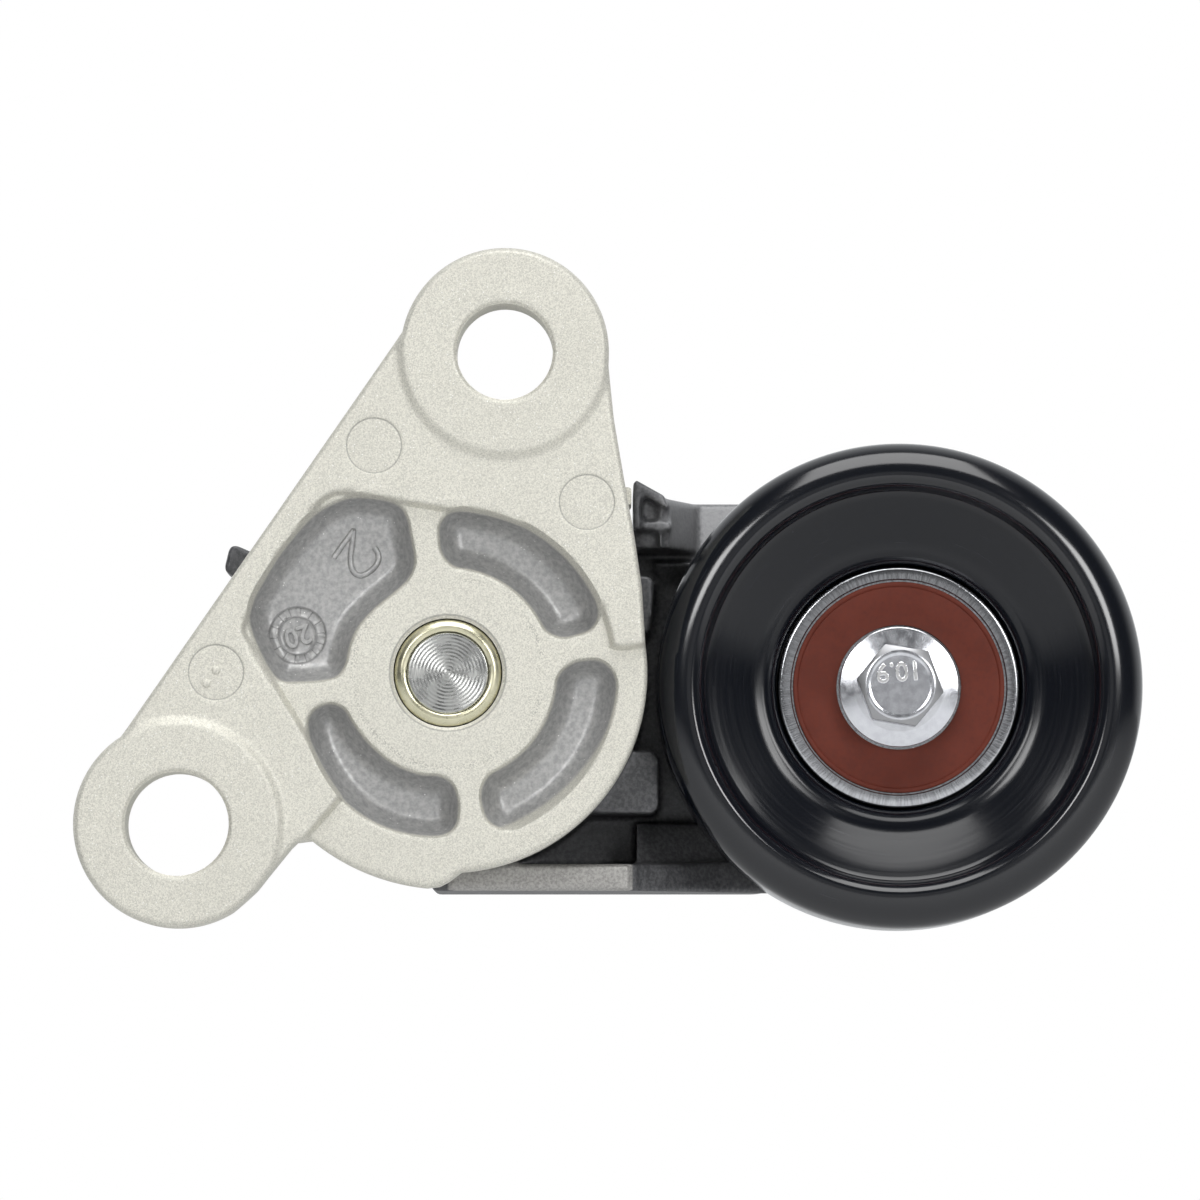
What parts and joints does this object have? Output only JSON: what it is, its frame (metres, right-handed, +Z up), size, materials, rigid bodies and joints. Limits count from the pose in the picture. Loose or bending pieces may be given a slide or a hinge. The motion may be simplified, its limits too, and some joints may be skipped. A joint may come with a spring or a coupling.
{
  "type": "serpentine belt tensioner",
  "caption": "Sprung belt tensioner: a die-cast bracket with bolt ears, a swinging arm and a flat pulley on a sealed ball bearing.",
  "frame": {"origin": "on the arm's pivot axis, in the plane of the two ear faces that rest on the engine", "axes": "+X towards the pulley, +Z up, +Y along the pivot axis away from the engine"},
  "size_m": [0.1756, 0.052, 0.1115],
  "materials": {
    "cast_aluminium": "shot-blasted die casting",
    "coated_casting": "black coated die casting",
    "yellow_zinc": "pale yellow zinc plate",
    "turned_steel": "turned",
    "bearing_steel": "ground",
    "zinc_plate": "bright zinc plate",
    "spring_steel": "dark coated wire",
    "gloss_black": "gloss black coat on spun steel",
    "seal_rubber": "red-brown moulded rubber",
    "black_plastic": "moulded",
    "cage_plastic": "moulded"
  },
  "bodies": {
    "base": {"mounting_bracket": "cast_aluminium", "pin_sleeve": "yellow_zinc", "pivot_pin": "turned_steel", "thrust_washer": "bearing_steel", "friction_ring": "black_plastic"},
    "arm": {"tensioner_arm": "coated_casting", "rear_bush": "black_plastic", "front_bush": "black_plastic", "spring_sleeve": "black_plastic", "torsion_spring": "spring_steel", "front_cover": "zinc_plate", "pulley_bolt": "zinc_plate", "bearing_inner_race": "bearing_steel"},
    "pulley": {"pulley_rim": "gloss_black", "bearing_outer_race": "bearing_steel", "front_seal": "seal_rubber", "rear_seal": "seal_rubber"},
    "cage": {"bearing_cage": "cage_plastic", "ball_1": "bearing_steel", "ball_2": "bearing_steel", "ball_3": "bearing_steel", "ball_4": "bearing_steel", "ball_5": "bearing_steel", "ball_6": "bearing_steel", "ball_7": "bearing_steel", "ball_8": "bearing_steel"}
  },
  "joints": [
    {"name": "arm_swing", "type": "hinge", "parent": "base", "child": "arm", "pos_m": [0, 0, 0], "axis": [0, 1, 0], "range_deg": [0, 35], "stiffness_Nm_per_rad": 8.5, "springref_deg": -74.48, "deforming": ["torsion_spring"]},
    {"name": "pulley_spin", "type": "hinge", "parent": "arm", "child": "pulley", "pos_m": [0.0743, 0.0215, -0.00182], "axis": [0, 1, 0], "continuous": true},
    {"name": "cage_spin", "type": "hinge", "parent": "arm", "child": "cage", "pos_m": [0.0743, 0.0215, -0.00182], "axis": [0, 1, 0], "continuous": true}
  ],
  "couplings": [
    {"joint": "cage_spin", "follows": "pulley_spin", "ratio": 0.618}
  ]
}
